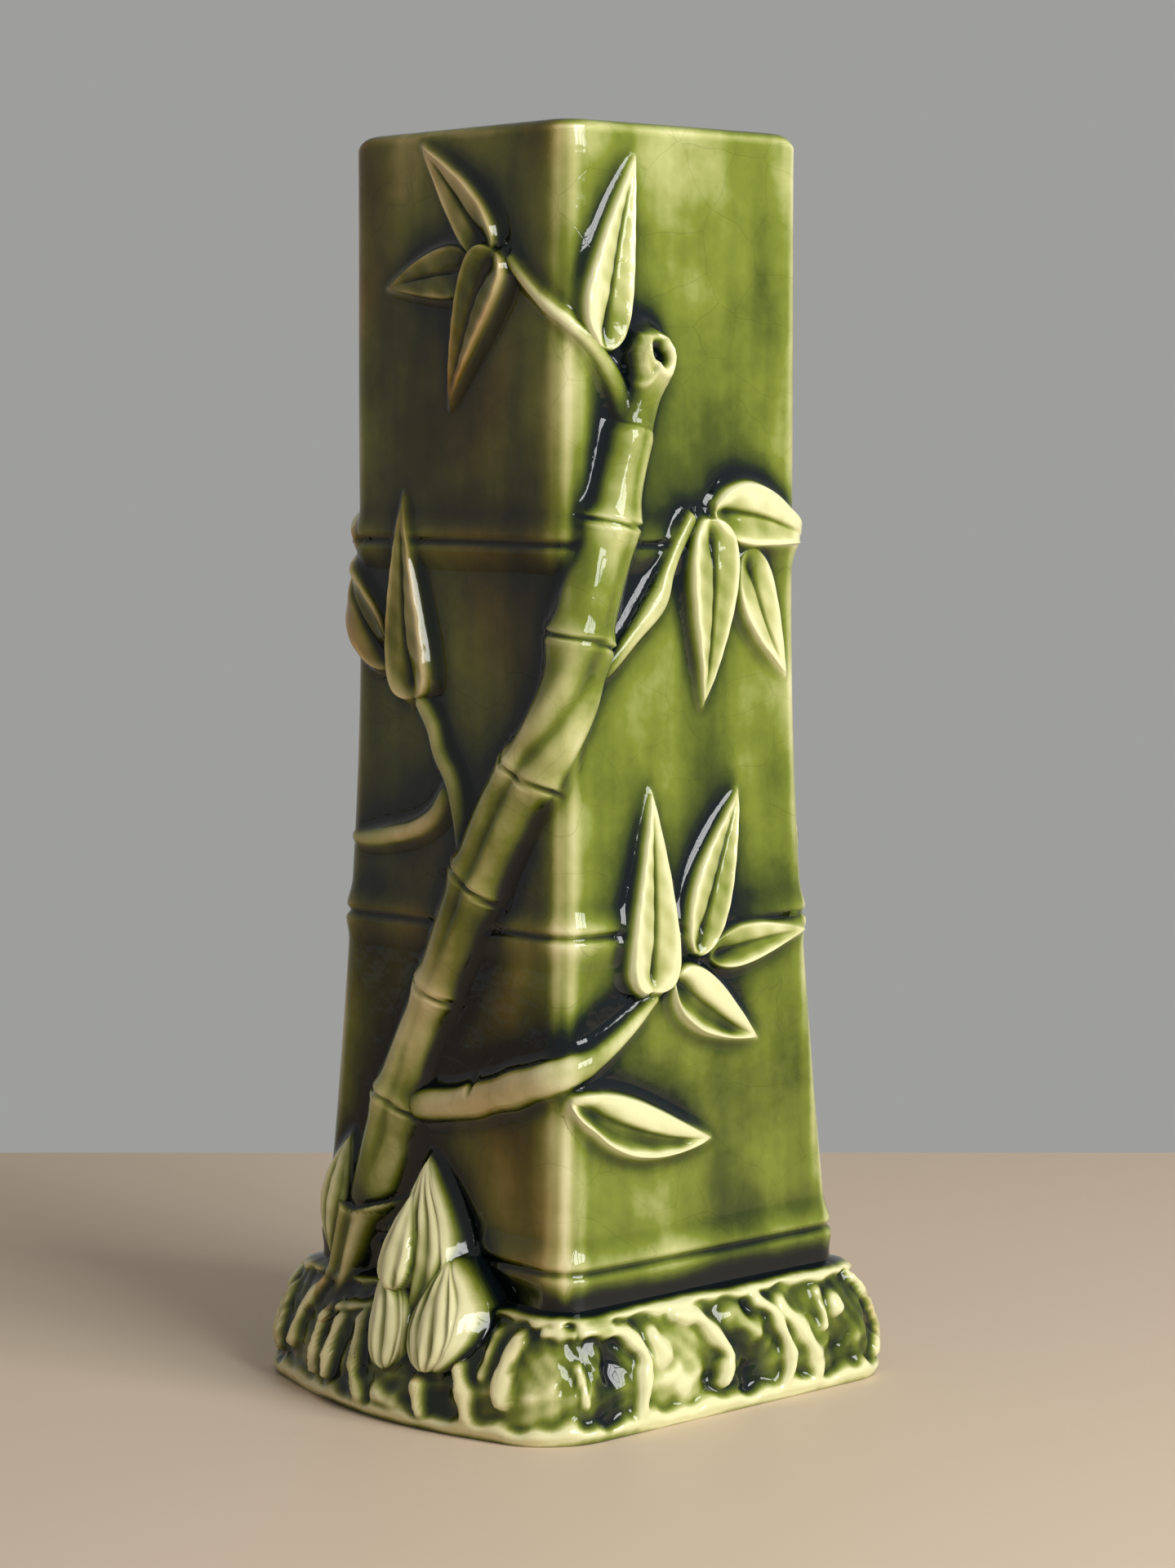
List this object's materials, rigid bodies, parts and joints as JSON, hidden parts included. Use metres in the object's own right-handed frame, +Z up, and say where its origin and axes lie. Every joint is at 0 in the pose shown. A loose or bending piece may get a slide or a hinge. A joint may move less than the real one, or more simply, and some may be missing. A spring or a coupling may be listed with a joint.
{
  "type": "vase",
  "caption": "Tall square glazed ceramic vase shaped like a length of bamboo, with stalks, leaves and shoots in relief round its sides, on a rockwork foot; holds water and flower stems.",
  "frame": {"origin": "middle of the foot's underside, on the surface that the vase stands on", "axes": "+Z up through the vase's mouth; -Y out of the green front face and -X out of the olive face on the picture's left, with the corner between them towards the camera"},
  "size_m": [0.116, 0.096, 0.25],
  "materials": {
    "body_glaze": "glossy",
    "rock_glaze": "glossy",
    "stalk_glaze": "glossy",
    "leaf_glaze": "glossy"
  },
  "bodies": {
    "root": {"back_branch_left": "stalk_glaze", "back_branch_lower": "stalk_glaze", "back_leaf_low_bottom": "leaf_glaze", "back_leaf_low_down_right": "leaf_glaze", "back_leaf_low_right_side": "leaf_glaze", "back_leaf_low_up": "leaf_glaze", "back_leaf_low_up_right": "leaf_glaze", "back_leaf_mid_left_up": "leaf_glaze", "back_leaf_mid_right_down": "leaf_glaze", "back_leaf_mid_right_far": "leaf_glaze", "back_leaf_mid_right_side": "leaf_glaze", "back_leaf_top_left_down": "leaf_glaze", "back_leaf_top_left_side": "leaf_glaze", "back_leaf_top_left_up": "leaf_glaze", "back_leaf_top_right_up": "leaf_glaze", "back_shoot_small_left": "leaf_glaze", "back_shoot_small_right": "leaf_glaze", "back_shoot_tall": "leaf_glaze", "back_stalk": "stalk_glaze", "back_stub": "stalk_glaze", "back_twig_mid_left": "stalk_glaze", "back_twig_mid_right": "stalk_glaze", "back_twig_top_left": "stalk_glaze", "front_branch_left": "stalk_glaze", "front_branch_lower": "stalk_glaze", "front_leaf_low_bottom": "leaf_glaze", "front_leaf_low_down_right": "leaf_glaze", "front_leaf_low_right_side": "leaf_glaze", "front_leaf_low_up": "leaf_glaze", "front_leaf_low_up_right": "leaf_glaze", "front_leaf_mid_left_edge": "leaf_glaze", "front_leaf_mid_left_up": "leaf_glaze", "front_leaf_mid_right_down": "leaf_glaze", "front_leaf_mid_right_far": "leaf_glaze", "front_leaf_mid_right_side": "leaf_glaze", "front_leaf_top_left_down": "leaf_glaze", "front_leaf_top_left_side": "leaf_glaze", "front_leaf_top_left_up": "leaf_glaze", "front_leaf_top_right_up": "leaf_glaze", "front_shoot_corner": "leaf_glaze", "front_shoot_small_left": "leaf_glaze", "front_shoot_small_right": "leaf_glaze", "front_shoot_tall": "leaf_glaze", "front_stalk": "stalk_glaze", "front_stub": "stalk_glaze", "front_twig_mid_left": "stalk_glaze", "front_twig_mid_right": "stalk_glaze", "front_twig_top_left": "stalk_glaze", "rockwork_foot": "rock_glaze", "vase_body": "body_glaze"}
  },
  "joints": []
}
